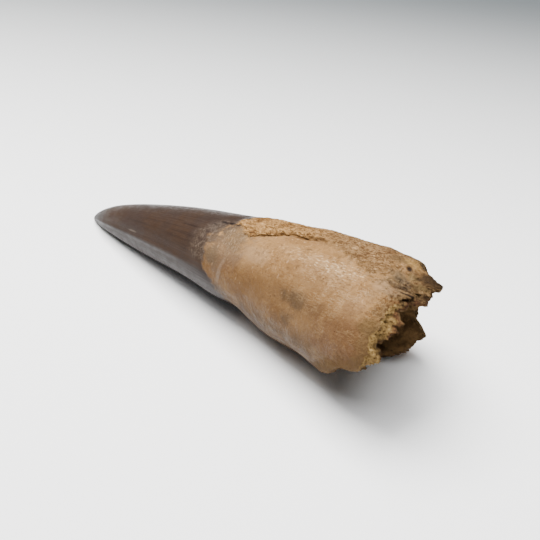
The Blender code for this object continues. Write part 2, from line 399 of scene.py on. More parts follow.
def place_values(point, normal):
    """Where a point lies on the tooth, and how much each mask covers it."""
    along, angle, out = on_tooth(point)
    enamel_wave = ENAMEL_EDGE_WAVE * drift(angle / 7.0, 3.1, 8.2)
    beyond_enamel = along - read_table(ENAMEL_REACH, angle) - enamel_wave
    lower = read_table(CRUST_LOWER_EDGE, along) + CRUST_EDGE_WAVE * drift(along / 4.0, 0.5, 0.5)
    break_wave = BREAK_EDGE_WAVE * drift(angle / 5.5, 1.7, 4.4)
    past_break = along - read_table(BREAK_REACH, angle) - break_wave
    radial = Vector((0.0, -math.cos(math.radians(angle)), math.sin(math.radians(angle))))
    inside = 0.0
    if along > HOLLOW_START and out < HOLLOW_OUTERMOST:
        inside = 1.0 - smooth(-0.3, 0.3, normal.dot(radial))
    outer = 1.0 - inside
    lifted = smooth(*FLAT_FADE, point.z)
    root = smooth(-0.6, 0.6, beyond_enamel)
    blend = 2.0 + 14.0 * smooth(84.0, 100.0, along) + 9.0 * (1.0 - smooth(68.0, 73.0, along))
    crust = smooth(-1.2, 1.0, beyond_enamel) * smooth(lower - blend, lower + blend, angle)
    crust *= 1.0 - smooth(CRUST_FAR_ANGLE - 14.0, CRUST_FAR_ANGLE, angle)
    crust *= 1.0 - 0.6 * smooth(108.0, 118.0, along)
    crevice = bell(angle, lower - 1.0, 1.5) * band(along, *CREVICE_ALONG)
    worn_past = 1.0 + 6.0 * smooth(48.0, 60.0, angle)
    scuff = band(beyond_enamel, -7.5, -2.5, 0.3 * worn_past, worn_past) * band(angle, *SCUFF_ROUND)
    broken = smooth(-1.6, -0.3, past_break) * smooth(0.15, 0.5, normal.x) * smooth(0.70, 0.78, out)
    splinters = smooth(*SPLINTERS_ALONG, along) * band(angle, *SPLINTERS_ROUND)
    layer = share_of_layer(along, angle)
    return {
        "along": along,
        "angle": angle,
        "out": out,
        "past_enamel": beyond_enamel / read_table(ENAMEL_EDGE_WIDTH, angle),
        "past_break": past_break,
        "root": root * outer * lifted,
        "crust": crust * outer * lifted,
        "crevice": crevice * outer,
        "broken": broken * lifted,
        "edge": smooth(-5.0, 0.0, past_break) * lifted,
        "hollow": inside * lifted,
        "pitted": smooth(92.0, 110.0, along) * bell(angle, 75.0, 45.0) * outer * lifted,
        "splinters": splinters * outer * lifted,
        "rise": (0.5 - layer) * splinters * outer * SPLIT_DEPTH,
        "radial": radial,
        "crust_cover": crust * outer,
        "crevice_shade": crevice * outer,
        "scuff": scuff,
        "pitted_cover": smooth(88.0, 108.0, along) * bell(angle, 75.0, 40.0) * outer,
        "splinter_cover": splinters * outer,
        "layer_gap_shade": smooth(0.70, 0.90, layer) * splinters * outer,
        "broken_wall": broken,
        "inside": inside,
    }


def describe_places(piece):
    """Adds the masks that the relief and the finish read, and a map along and round the tooth."""
    mesh = piece.data
    places = [place_values(vertex.co, vertex.normal) for vertex in mesh.vertices]
    for name in RELIEF_MASKS:
        group = piece.vertex_groups.new(name=name)
        for index, place in enumerate(places):
            if place[name] > 0.0:
                group.add([index], place[name], "REPLACE")
    for name in FINISH_MASKS:
        values = [place[name] for place in places]
        mesh.attributes.new(name, "FLOAT", "POINT").data.foreach_set("value", values)
    grown = mesh.attributes.new("grown", "FLOAT_VECTOR", "POINT")
    coordinates = []
    for place in places:
        coordinates.extend((place["along"], turn(place["angle"], TOP_ANGLE), place["out"]))
    grown.data.foreach_set("vector", coordinates)
    surface = mesh.uv_layers.new(name="surface")
    for loop in mesh.loops:
        place = places[loop.vertex_index]
        around = turn(place["angle"], TOP_ANGLE) / DEGREES_PER_MM
        surface.data[loop.index].uv = (place["along"], around)
    return places


def break_in_layers(piece, places, reach):
    """Pushes the broken edge in and out along the tooth, each thin layer of the wall by itself."""
    for vertex, place in zip(piece.data.vertices, places):
        if place["edge"] <= 0.0:
            continue
        half_width = HALF_WIDTH_AT_TAPER_END * (place["along"] * MM / TAPER_LENGTH) ** TAPER_POWER
        layer = math.floor((1.0 - place["out"]) * half_width / LAYER_THICKNESS)
        wide = drift(place["angle"] / 9.0, layer * 7.3, 2.5)
        fine = drift(place["angle"] / 2.8, layer * 3.1, 8.8)
        ragged = 1.0
        for angle, spread, by in RAGGED_PLACES:
            ragged += by * bell(place["angle"], angle, spread)
        shift = reach * ragged * (WIDE_RAGGEDNESS * wide + FINE_RAGGEDNESS * fine)
        for angle, spread, innermost, outermost, out_by in RIM_TONGUES:
            share = bell(turn(place["angle"], angle), 0.0, spread)
            share *= smooth(innermost - TONGUE_EDGE, innermost + TONGUE_EDGE, place["out"])
            share *= 1.0 - smooth(outermost - TONGUE_EDGE, outermost + TONGUE_EDGE, place["out"])
            shift += out_by * MM * share
        vertex.co.x = min(vertex.co.x + shift * place["edge"], CAD_BOX[1][0])


def split_in_layers(piece, places):
    """Raises the lower edge of each split layer on top of the root."""
    for vertex, place in zip(piece.data.vertices, places):
        vertex.co += place["radial"] * place["rise"]


def add_relief(piece, name, texture_type, mask, size, depth, mid=0.5, stretch=1.0):
    """Raises and lowers the surface inside a mask by a solid texture, stretched along the tooth."""
    texture = bpy.data.textures.new(name, texture_type)
    texture.noise_scale = size
    if texture_type == "CLOUDS":
        texture.noise_depth = 3
    if texture_type == "MUSGRAVE":
        texture.musgrave_type = "RIDGED_MULTIFRACTAL"
    relief = piece.modifiers.new(name, "DISPLACE")
    relief.texture = texture
    relief.texture_coords = "LOCAL"
    relief.strength = depth
    relief.mid_level = mid
    relief.vertex_group = mask
    guide = None
    if stretch != 1.0:
        guide = bpy.data.objects.new(name + " guide", None)
        bpy.context.scene.collection.objects.link(guide)
        guide.scale = (stretch, 1.0, 1.0)
        relief.texture_coords = "OBJECT"
        relief.texture_coords_object = guide
        bpy.context.view_layer.update()
    bpy.ops.object.modifier_apply(modifier=relief.name)
    if guide:
        bpy.data.objects.remove(guide, do_unlink=True)


def model_tooth(form):
    """The fine tooth in place of the plain solid."""
    tooth = copy_of_node("tooth", "fossil_tooth")
    refine(tooth, form.detail)
    places = describe_places(tooth)
    break_in_layers(tooth, places, form.jag)
    split_in_layers(tooth, places)
    add_relief(tooth, "root lumps", "CLOUDS", "root", size=7.0 * MM, depth=0.45 * MM)
    add_relief(tooth, "crust lumps", "CLOUDS", "crust", size=2.4 * MM, depth=0.4 * MM, stretch=2.0)
    wrinkles = form.crust_relief
    add_relief(tooth, "crust wrinkles", "MUSGRAVE", "crust", size=1.3 * MM, depth=wrinkles, stretch=1.8)
    add_relief(tooth, "crevice", "CLOUDS", "crevice", size=3.0 * MM, depth=-1.2 * MM, mid=0.0)
    add_relief(tooth, "splinters", "CLOUDS", "splinters", size=1.3 * MM, depth=0.8 * MM, stretch=7.0)
    add_relief(tooth, "pits", "CLOUDS", "pitted", size=1.0 * MM, depth=0.25 * MM)
    add_relief(tooth, "spongy break", "CLOUDS", "broken", size=1.2 * MM, depth=form.break_relief)
    add_relief(tooth, "hollow lumps", "CLOUDS", "hollow", size=3.5 * MM, depth=1.0 * MM)
    tooth.vertex_groups.clear()
    return tooth


# Sockets of a Mix node that are live when it mixes colours
MIX_COLOUR_SOCKETS = (0, 6, 7)
MIX_COLOUR_RESULT = 2


class Finish:
    """Builds the node tree of one material, most methods giving an output socket."""

    def __init__(self, name):
        self.material = bpy.data.materials.new(name)
        self.material.use_nodes = True
        self.tree = self.material.node_tree
        self.shader = self.tree.nodes["Principled BSDF"]
        place = self.tree.nodes.new("ShaderNodeTexCoord")
        self.place = place.outputs["Object"]
        self.tooth_places = None

    def put(self, socket, value):
        """Links or sets a socket."""
        if isinstance(value, bpy.types.NodeSocket):
            self.tree.links.new(value, socket)
        else:
            socket.default_value = value

    def attribute(self, name):
        """A number kept at each point of the piece."""
        made = self.tree.nodes.new("ShaderNodeAttribute")
        made.attribute_name = name
        return made.outputs["Fac"]

    def grown(self):
        """Millimetres from the tip, degrees from the top, and share of the way out."""
        made = self.tree.nodes.new("ShaderNodeAttribute")
        made.attribute_name = "grown"
        return made.outputs["Vector"]

    def stretched(self, vector, scale):
        """A vector with each part scaled."""
        made = self.tree.nodes.new("ShaderNodeVectorMath")
        made.operation = "MULTIPLY"
        self.put(made.inputs[0], vector)
        made.inputs[1].default_value = scale
        return made.outputs["Vector"]

    def hatching(self, slant, scale):
        """Noise in strokes that are turned by degrees from the crown's length, where its enamel ends."""
        made = self.tree.nodes.new("ShaderNodeMapping")
        self.put(made.inputs["Vector"], self.grown())
        made.inputs["Rotation"].default_value = (0.0, 0.0, math.radians(slant))
        made.inputs["Scale"].default_value = (1.0, MM_PER_DEGREE, 0.0)
        return self.noise(1.0, 3.0, 0.6, self.stretched(made.outputs["Vector"], scale))

    def noise(self, size, detail=3.0, rough=0.55, vector=None):
        """Cloudy noise from 0 to 1, its lumps sized in metres unless it has a vector of its own."""
        made = self.tree.nodes.new("ShaderNodeTexNoise")
        self.put(made.inputs["Vector"], vector or self.place)
        made.inputs["Scale"].default_value = 1.0 / size
        made.inputs["Detail"].default_value = detail
        made.inputs["Roughness"].default_value = rough
        return made.outputs["Fac"]

    def drawn_out(self, along, around, detail, rough=0.55):
        """Noise with so many lumps to a millimetre along the tooth and to a degree round it."""
        return self.noise(1.0, detail, rough, self.stretched(self.grown(), (along, around, 0.0)))

    def cells(self, size, vector=None, flat=False):
        """Distance to the nearest of many scattered points."""
        made = self.tree.nodes.new("ShaderNodeTexVoronoi")
        if flat:
            made.voronoi_dimensions = "2D"
        self.put(made.inputs["Vector"], vector or self.place)
        made.inputs["Scale"].default_value = 1.0 / size
        return made.outputs["Distance"]

    def maths(self, operation, a, b=0.0):
        """One sum on two numbers."""
        made = self.tree.nodes.new("ShaderNodeMath")
        made.operation = operation
        self.put(made.inputs[0], a)
        self.put(made.inputs[1], b)
        return made.outputs["Value"]

    def plus(self, a, b):
        """Two numbers added."""
        return self.maths("ADD", a, b)

    def minus(self, a, b):
        """The second number taken from the first."""
        return self.maths("SUBTRACT", a, b)

    def times(self, a, b):
        """Two numbers multiplied."""
        return self.maths("MULTIPLY", a, b)

    def ramp(self, value, low, high, to_low=0.0, to_high=1.0):
        """Smooth change between two outputs as value goes from low to high."""
        made = self.tree.nodes.new("ShaderNodeMapRange")
        made.interpolation_type = "SMOOTHSTEP"
        self.put(made.inputs["Value"], value)
        made.inputs["From Min"].default_value = low
        made.inputs["From Max"].default_value = high
        made.inputs["To Min"].default_value = to_low
        made.inputs["To Max"].default_value = to_high
        return made.outputs["Result"]

    def parts(self, vector):
        """The three numbers of a vector."""
        made = self.tree.nodes.new("ShaderNodeSeparateXYZ")
        self.put(made.inputs["Vector"], vector)
        return made.outputs

    def places(self):
        """Millimetres from the tip as X, degrees from the top as Y, share of the way out as Z."""
        if not self.tooth_places:
            self.tooth_places = self.parts(self.grown())
        return self.tooth_places

    def wobble(self, size, reach, detail=3.0):
        """Cloudy noise from minus half the reach to plus half of it."""
        return self.times(self.minus(self.noise(size, detail), 0.5), reach)

    def spot(self, along, angle, long, wide, uneven):
        """1 inside an ellipse on the tooth with an uneven edge, 0 outside it."""
        places = self.places()
        off_long = self.maths("DIVIDE", self.minus(places["X"], along), long)
        off_wide = self.maths("DIVIDE", self.minus(places["Y"], angle - TOP_ANGLE), wide)
        away = self.maths("POWER", off_long, 2.0)
        away = self.plus(away, self.maths("POWER", off_wide, 2.0))
        away = self.plus(self.maths("SQRT", away), uneven)
        return self.ramp(away, 1.25, 0.45)

    def lines(self, value, width):
        """Thin wandering lines where a noise crosses its middle."""
        away = self.maths("ABSOLUTE", self.minus(value, 0.5))
        return self.ramp(away, width, 0.4 * width)

    def mix(self, amount, a, b, blend="MIX"):
        """Two colours mixed."""
        made = self.tree.nodes.new("ShaderNodeMix")
        made.data_type = "RGBA"
        made.blend_type = blend
        factor, first, second = (made.inputs[i] for i in MIX_COLOUR_SOCKETS)
        self.put(factor, amount)
        self.put(first, a if isinstance(a, bpy.types.NodeSocket) else (*a, 1.0))
        self.put(second, b if isinstance(b, bpy.types.NodeSocket) else (*b, 1.0))
        return made.outputs[MIX_COLOUR_RESULT]

    def bump(self, height, distance, under=None):
        """Fine relief on top of another."""
        made = self.tree.nodes.new("ShaderNodeBump")
        made.inputs["Distance"].default_value = distance
        self.put(made.inputs["Height"], height)
        if under is not None:
            self.put(made.inputs["Normal"], under)
        return made.outputs["Normal"]


# Spots on the root: millimetres from the tip, angle, half length, half width, colour, strength
ROOT_STAINS = (
    (67.0, 44.0, 7.5, 26.0, (0.112, 0.070, 0.044), 0.70),
    (63.6, 40.0, 2.8, 12.0, (0.110, 0.074, 0.042), 0.60),
    (68.8, 27.0, 0.7, 18.0, (0.260, 0.180, 0.120), 0.50),
    (79.0, 29.0, 7.5, 13.0, (0.158, 0.079, 0.026), 0.65),
    (78.5, 58.0, 5.0, 10.0, (0.245, 0.150, 0.076), 0.50),
    # The spot at 99 mm and 74 degrees is a painted highlight on the shoulder
    (99.0, 74.0, 10.0, 6.0, (0.290, 0.175, 0.080), 0.35),
    (101.0, 60.0, 9.0, 12.0, (0.150, 0.084, 0.036), 0.40),
    (71.0, 32.0, 2.5, 8.0, (0.150, 0.075, 0.034), 0.45),
    (96.3, 36.0, 5.2, 9.0, (0.075, 0.047, 0.024), 0.75),
    (95.4, 15.0, 3.0, 6.0, (0.075, 0.048, 0.026), 0.55),
    (102.5, 36.0, 4.0, 8.0, (0.120, 0.064, 0.028), 0.60),
    (113.0, 22.0, 8.0, 20.0, (0.130, 0.060, 0.026), 0.50),
    (118.6, 43.0, 2.6, 7.0, (0.110, 0.064, 0.022), 0.80),
    (112.0, 52.0, 3.0, 8.0, (0.140, 0.074, 0.034), 0.35),
    (68.0, -6.0, 5.0, 12.0, (0.070, 0.050, 0.036), 0.50),
)

# Spots near the broken end, in the same order
BREAK_STAINS = (
    (116.6, 113.0, 3.4, 9.0, (0.250, 0.145, 0.044), 0.80),
    (113.5, 108.0, 3.0, 6.0, (0.105, 0.062, 0.026), 0.55),
    (117.6, 91.0, 3.0, 6.0, (0.105, 0.072, 0.040), 0.50),
    (117.0, 76.0, 3.6, 6.5, (0.270, 0.165, 0.082), 0.60),
    (119.6, 99.0, 2.0, 5.0, (0.110, 0.072, 0.030), 0.80),
    (116.6, 66.0, 3.4, 7.0, (0.180, 0.100, 0.038), 0.55),
    (123.0, 69.0, 3.2, 4.5, (0.120, 0.056, 0.020), 0.80),
    (124.0, 107.0, 5.0, 12.0, (0.027, 0.015, 0.006), 0.95),
    (117.5, 103.5, 1.1, 3.0, (0.012, 0.006, 0.004), 0.95),
    (122.2, 92.0, 2.6, 4.6, (0.095, 0.060, 0.024), 0.85),
    (124.6, 88.0, 2.0, 3.4, (0.260, 0.160, 0.072), 0.60),
    (120.0, 6.0, 2.0, 5.0, (0.100, 0.048, 0.022), 0.75),
    (122.4, 80.0, 3.4, 1.4, (0.010, 0.005, 0.003), 0.95),
)

# Dark chips and scratches in the enamel and a pale nick far out on it, in the same order
ENAMEL_CHIPS = (
    (60.2, 86.0, 1.4, 2.0, (0.010, 0.006, 0.005), 0.95),
    (62.8, 87.5, 1.7, 2.4, (0.009, 0.005, 0.004), 0.95),
    (65.4, 86.5, 1.0, 1.8, (0.012, 0.007, 0.005), 0.85),
    (58.0, 79.0, 0.8, 1.2, (0.012, 0.007, 0.005), 0.80),
    (49.5, 66.5, 3.6, 0.7, (0.009, 0.005, 0.004), 0.70),
    (27.4, 24.5, 2.0, 2.2, (0.090, 0.070, 0.055), 0.60),
)

# Shades of the crown, its flank under the near ridge, greyed as a painted reflection of the floor, and
# its worn tip
CROWN_CLOUD = (0.030, 0.0175, 0.0115)
CROWN_STREAK = (0.018, 0.011, 0.0085)
CROWN_FINE_STREAK = (0.050, 0.034, 0.026)
FLANK_PAINTED_REFLECTIONS = ((0.021, 0.0150, 0.0135), (0.029, 0.0215, 0.0190))
WORN_TIP = (0.020, 0.0180, 0.0168)

# Shades of the scratched enamel and of the rubbed patch of root beside it
SCUFF = (0.036, 0.024, 0.017)
SCUFF_LINE = (0.115, 0.085, 0.063)
RUBBED = (0.086, 0.053, 0.027)
RUBBED_LINE = (0.260, 0.175, 0.102)

# Shades of the root, two of which darken what is under them; the underside's is partly its darker tone
# and partly painted shade, and the side's is painted shade
ROOT_UNDERSIDE_TONE_AND_SHADE = (0.100, 0.062, 0.033)
ROOT_CLOUD = (0.74, 0.67, 0.58)
ROOT_SIDE_PAINTED_SHADE = (0.62, 0.60, 0.57)
ROOT_PALE = (0.330, 0.190, 0.082)
ROOT_DARK_GRAIN = (0.075, 0.038, 0.015)
ROOT_PALE_GRAIN = (0.440, 0.275, 0.135)
ROOT_SPECK = (0.055, 0.024, 0.010)
ROOT_STROKE = (0.440, 0.290, 0.165)
ROOT_PAINTED_GLINT = (0.520, 0.370, 0.215)
CRACK = (0.060, 0.028, 0.010)
CRACK_LIP_HIGHLIGHT = (0.500, 0.325, 0.165)

# Shades of the crust, of which the dirt darkens what is under it; the crest shade is a painted highlight
# and the crevice shade is painted shade under the crust's edge
OLD_CRUST = (0.215, 0.124, 0.054)
CRUST_DIP = (0.105, 0.050, 0.017)
CRUST_CREST_HIGHLIGHT = (0.620, 0.400, 0.190)
CRUST_GROOVE = (0.050, 0.021, 0.006)
CRUST_DIRT = (0.55, 0.48, 0.42)
CREVICE_PAINTED_SHADE = (0.045, 0.019, 0.005)

# Shades of the splinters and of the broken rim, which is chafed darker; the layer gap shade is painted
# shade between the split layers
SPLINTER_SHADES = ((0.034, 0.023, 0.013), (0.092, 0.057, 0.027))
SPLINTER_CHIP = (0.280, 0.175, 0.075)
LAYER_GAP_PAINTED_SHADE = (0.022, 0.010, 0.004)
RIM_STAIN = (0.105, 0.062, 0.025)
RIM_CHAFE = (0.46, 0.38, 0.30)

# Shades of the broken wall, its lining and the pulp hollow; the ochre crumb shade is a painted highlight
# and the deep hollow is darkened with painted shade
OCHRE_HOLE = (0.060, 0.032, 0.009)
OCHRE_CRUMB_HIGHLIGHT = (0.400, 0.270, 0.110)
WALL_SHADES = ((0.038, 0.020, 0.008), (0.145, 0.088, 0.038))
LINING_SHADES = ((0.050, 0.020, 0.009), (0.125, 0.055, 0.023))
DEEP_HOLLOW_PAINTED_SHADES = ((0.022, 0.012, 0.005), (0.052, 0.030, 0.012))
MOUTH_SHADES = ((0.070, 0.038, 0.014), (0.150, 0.086, 0.034))

# How rough and how reflecting the surfaces are
ENAMEL_ROUGHNESS = (0.30, 0.42)
ROOT_ROUGHNESS = (0.32, 0.52)
DULL_ROUGHNESS = 0.80
TOOTH_REFLECTION = 0.08


def stained(finish, colour, stains, ragged):
    """A colour with ragged spots laid over it."""
    uneven = finish.wobble(4.0 * MM, ragged, detail=5.0)
    for along, angle, long, wide, stain, strength in stains:
        spot = finish.spot(along, angle, long, wide, uneven)
        colour = finish.mix(finish.times(spot, strength), colour, stain)
    return colour


def enamel_colour(finish, settings):
    """Brown crown with fine grain along it, a flank under the ridge greyed as a painted reflection of
    the floor, and a grey tip.
    """
    places = finish.places()
    cloud = finish.noise(9.0 * MM, detail=5.0)
    colour = finish.mix(finish.ramp(cloud, 0.40, 0.60), settings.enamel, CROWN_CLOUD)
    streak = finish.drawn_out(0.05, 0.28, detail=5.0)
    colour = finish.mix(finish.ramp(streak, 0.45, 0.65, 0.0, 0.5), colour, CROWN_STREAK)
    fine = finish.drawn_out(0.25, 0.9, detail=5.0, rough=0.7)
    colour = finish.mix(finish.ramp(fine, 0.52, 0.68, 0.0, 0.30), colour, CROWN_FINE_STREAK)
    wander = finish.wobble(1.0 * MM, 3.0, detail=5.0)
    from_ridge = finish.minus(places["Y"], RIDGE_NEAR_ANGLE - TOP_ANGLE)
    from_ridge = finish.plus(from_ridge, wander)
    # Painted reflection: the flank under the near ridge is greyed as if it mirrored the floor
    flank_reflection = finish.mix(finish.ramp(fine, 0.42, 0.62), *FLANK_PAINTED_REFLECTIONS)
    colour = finish.mix(finish.ramp(from_ridge, 0.5, -0.6, 0.0, 0.95), colour, flank_reflection)
    from_tip = finish.plus(places["X"], wander)
    return finish.mix(finish.ramp(from_tip, 12.0, 2.0, 0.0, 0.8), colour, WORN_TIP)


def scuffed(finish, colour):
    """A colour with the scratches, the rubbed patch and the chips along the enamel's edge."""
    rising = finish.hatching(34.0, (4.6, 0.75, 0.0))
    falling = finish.hatching(-20.0, (5.0, 0.70, 0.0))
    hatch = finish.ramp(finish.maths("MAXIMUM", rising, falling), 0.54, 0.64, 0.0, 0.70)
    patch = finish.noise(2.0 * MM, detail=5.0)
    amount = finish.times(finish.attribute("scuff"), finish.ramp(patch, 0.30, 0.50))
    colour = finish.mix(finish.times(amount, 0.85), colour, SCUFF)
    colour = finish.mix(finish.times(amount, hatch), colour, SCUFF_LINE)
    rubbed = finish.spot(68.5, 70.0, 5.5, 18.0, finish.wobble(2.5 * MM, 2.4, detail=5.0))
    colour = finish.mix(finish.times(rubbed, 0.80), colour, RUBBED)
    colour = finish.mix(finish.times(rubbed, hatch), colour, RUBBED_LINE)
    return stained(finish, colour, ENAMEL_CHIPS, 1.2)


def root_colour(finish, settings):
    """Mottled tan, browner at its side, darker at its near side and underneath partly with painted
    shade, with stains, specks, pale worn marks and painted glints.
    """
    places = finish.places()
    down = finish.plus(places["Y"], finish.wobble(7.0 * MM, 30.0, detail=4.0))
    colour = finish.mix(finish.ramp(down, -20.0, -62.0), settings.root, settings.root_side)
    # Darker underneath: partly the root's own darker tone, partly painted shade
    colour = finish.mix(finish.ramp(down, -72.0, -104.0, 0.0, 0.9), colour, ROOT_UNDERSIDE_TONE_AND_SHADE)
    cloud = finish.noise(8.0 * MM, detail=4.0)
    colour = finish.mix(finish.ramp(cloud, 0.44, 0.60, 0.0, 0.8), colour, ROOT_CLOUD, "MULTIPLY")
    pale = finish.noise(3.5 * MM, detail=6.0)
    colour = finish.mix(finish.ramp(pale, 0.50, 0.66, 0.0, 0.22), colour, ROOT_PALE)
    colour = stained(finish, colour, ROOT_STAINS, 2.4)
    grain = finish.noise(0.8 * MM, detail=5.0, rough=0.75)
    worn = finish.ramp(finish.noise(5.0 * MM, detail=4.0), 0.42, 0.58, 0.3, 1.0)
    worn = finish.times(worn, finish.ramp(places["Y"], -50.0, -15.0, 0.45, 1.0))
    dark_grain = finish.times(worn, finish.ramp(grain, 0.50, 0.37, 0.0, 0.85))
    colour = finish.mix(dark_grain, colour, ROOT_DARK_GRAIN)
    pale_grain = finish.times(worn, finish.ramp(grain, 0.56, 0.67, 0.0, 0.65))
    colour = finish.mix(pale_grain, colour, ROOT_PALE_GRAIN)
    specks = finish.ramp(finish.cells(1.3 * MM), 0.20, 0.10, 0.0, 0.7)
    specks = finish.times(specks, finish.ramp(finish.noise(5.0 * MM, detail=3.0), 0.50, 0.60))
    colour = finish.mix(specks, colour, ROOT_SPECK)
    colour = cracked(finish, colour)
    lattice = finish.stretched(finish.grown(), (0.34, 0.034, 0.0))
    strokes = finish.cells(1.0, vector=lattice, flat=True)
    broken_up = finish.ramp(finish.noise(1.6 * MM, detail=4.0), 0.46, 0.60, 0.0, 0.10)
    strokes = finish.ramp(finish.minus(strokes, broken_up), -0.01, -0.04, 0.0, 0.30)
    colour = finish.mix(strokes, colour, ROOT_STROKE)
    # Painted shade darkens the near side of the root
    colour = finish.mix(finish.ramp(places["Y"], -30.0, -58.0), colour, ROOT_SIDE_PAINTED_SHADE, "MULTIPLY")
    # Painted highlights: pale glints streaked along the shoulder
    glints = finish.drawn_out(0.75, 0.55, detail=4.0, rough=0.7)
    shoulder = finish.spot(99.0, 76.0, 12.0, 9.0, finish.wobble(4.0 * MM, 1.8))
    glints = finish.times(finish.ramp(glints, 0.52, 0.62, 0.0, 0.70), shoulder)
    return finish.mix(glints, colour, ROOT_PAINTED_GLINT)


def cracked(finish, colour):
    """A colour with small dark cracks whose lips have painted highlights, most of them towards the
    broken end.
    """
    crackle = finish.drawn_out(0.32, 0.40, detail=4.0, rough=0.6)
    patch = finish.ramp(finish.noise(4.0 * MM, detail=3.0), 0.44, 0.58)
    amount = finish.times(patch, finish.plus(finish.attribute("pitted_cover"), 0.16))
    # Painted highlights along the lips of the cracks
    lip_highlights = finish.times(finish.lines(crackle, 0.045), amount)
    colour = finish.mix(finish.times(lip_highlights, 0.8), colour, CRACK_LIP_HIGHLIGHT)
    cracks = finish.times(finish.lines(crackle, 0.022), amount)
    return finish.mix(cracks, colour, CRACK)


def crust_colour(finish, settings):
    """Wrinkled golden tan with painted highlights on its crests and dark grooves, browner towards the
    broken end.
    """
    places = finish.places()
    colour = finish.mix(finish.ramp(places["X"], 80.0, 102.0), settings.crust, OLD_CRUST)
    grain = finish.noise(0.9 * MM, detail=6.0, rough=0.8)
    colour = finish.mix(finish.ramp(grain, 0.50, 0.40, 0.0, 0.70), colour, CRUST_DIP)
    # Painted highlights on the crests of the grain
    colour = finish.mix(finish.ramp(grain, 0.55, 0.64, 0.0, 0.60), colour, CRUST_CREST_HIGHLIGHT)
    grooves = finish.drawn_out(0.30, 0.26, detail=5.0, rough=0.65)
    colour = finish.mix(finish.times(finish.lines(grooves, 0.036), 0.80), colour, CRUST_GROOVE)
    dirt = finish.noise(4.0 * MM, detail=5.0)
    return finish.mix(finish.ramp(dirt, 0.50, 0.62, 0.0, 0.8), colour, CRUST_DIRT, "MULTIPLY")


def splinter_colour(finish):
    """Brown and grey-brown layers running along the tooth with painted shade in the gaps between them.
    """
    streaks = finish.drawn_out(0.16, 0.45, detail=4.0, rough=0.6)
    colour = finish.mix(finish.ramp(streaks, 0.42, 0.58), *SPLINTER_SHADES)
    chips = finish.drawn_out(0.5, 0.5, detail=4.0, rough=0.7)
    colour = finish.mix(finish.ramp(chips, 0.54, 0.64, 0.0, 0.7), colour, SPLINTER_CHIP)
    # Painted shade where each split layer goes under the next
    gap_shade = finish.ramp(finish.attribute("layer_gap_shade"), 0.4, 0.9, 0.0, 0.9)
    return finish.mix(gap_shade, colour, LAYER_GAP_PAINTED_SHADE)


def break_colour(finish, settings):
    """Crumbling ochre wall on the near side with painted highlights on its crumbs, brown elsewhere, with
    a red-brown lining.
    """
    sponge = finish.noise(0.7 * MM, detail=6.0, rough=0.75)
    ochre = finish.mix(finish.ramp(sponge, 0.41, 0.50), OCHRE_HOLE, settings.fracture)
    # Painted highlights on the crumbs of the ochre wall
    ochre = finish.mix(finish.ramp(sponge, 0.54, 0.66, 0.0, 0.65), ochre, OCHRE_CRUMB_HIGHLIGHT)
    brown = finish.mix(finish.ramp(sponge, 0.42, 0.58), *WALL_SHADES)
    across = finish.plus(finish.places()["Y"], finish.wobble(3.0 * MM, 24.0))
    near = finish.times(finish.ramp(across, -84.0, -72.0), finish.ramp(across, -14.0, -26.0))
    colour = finish.mix(near, brown, ochre)
    lining = finish.mix(finish.ramp(sponge, 0.45, 0.60), *LINING_SHADES)
    out = finish.plus(finish.places()["Z"], finish.wobble(2.0 * MM, 0.10, detail=4.0))
    return finish.mix(finish.ramp(out, 0.865, 0.835, 0.0, 0.9), colour, lining)


def hollow_colour(finish):
    """Brown pulp hollow, darkened with painted shade deep inside and paler near its mouth."""
    lumps = finish.noise(3.0 * MM, detail=5.0)
    deep = finish.mix(finish.ramp(lumps, 0.40, 0.60), *DEEP_HOLLOW_PAINTED_SHADES)
    mouth = finish.mix(finish.ramp(lumps, 0.40, 0.60), *MOUTH_SHADES)
    # Painted shade: the hollow darkens away from its mouth
    return finish.mix(finish.ramp(finish.places()["X"], 104.0, 115.0), deep, mouth)


def rim_marked(finish, colour, rim):
    """A colour with the stained and chafed rim of the break."""
    colour = finish.mix(finish.ramp(rim, -4.0, -0.8, 0.0, 0.65), colour, RIM_STAIN)
    colour = stained(finish, colour, BREAK_STAINS, 1.2)
    chafed = finish.ramp(finish.noise(0.8 * MM, detail=5.0, rough=0.8), 0.52, 0.42)
    chafed = finish.times(chafed, finish.ramp(rim, -9.0, -3.0))
    chafed = finish.times(chafed, finish.ramp(finish.places()["Y"], -48.0, -18.0, 0.15, 1.0))
    return finish.mix(chafed, colour, RIM_CHAFE, "MULTIPLY")


def roughness(finish, root, not_root, dull):
    """Glossy enamel and satin root, both worn in patches, and dull crust and break."""
    worn = finish.noise(2.5 * MM, detail=5.0)
    gloss = finish.ramp(worn, 0.4, 0.6, *ENAMEL_ROUGHNESS)
    satin = finish.ramp(worn, 0.4, 0.6, *ROOT_ROUGHNESS)
    rough = finish.plus(finish.times(gloss, not_root), finish.times(satin, root))
    rough = finish.times(rough, finish.minus(1.0, dull))
    return finish.plus(rough, finish.times(DULL_ROUGHNESS, dull))


def fine_relief(finish, root, not_root, dull):
    """Streaks along the enamel, a grainy skin on the root, and crumbs on the crust and the break."""
    streaks = finish.drawn_out(0.06, 0.55, detail=3.0)
    normal = finish.bump(finish.times(streaks, not_root), 0.10 * MM)
    skin = finish.noise(0.9 * MM, detail=6.0, rough=0.7)
    normal = finish.bump(finish.times(skin, root), 0.34 * MM, normal)
    crumbs = finish.noise(0.8 * MM, detail=5.0, rough=0.7)
    return finish.bump(finish.times(crumbs, dull), 0.7 * MM, normal)


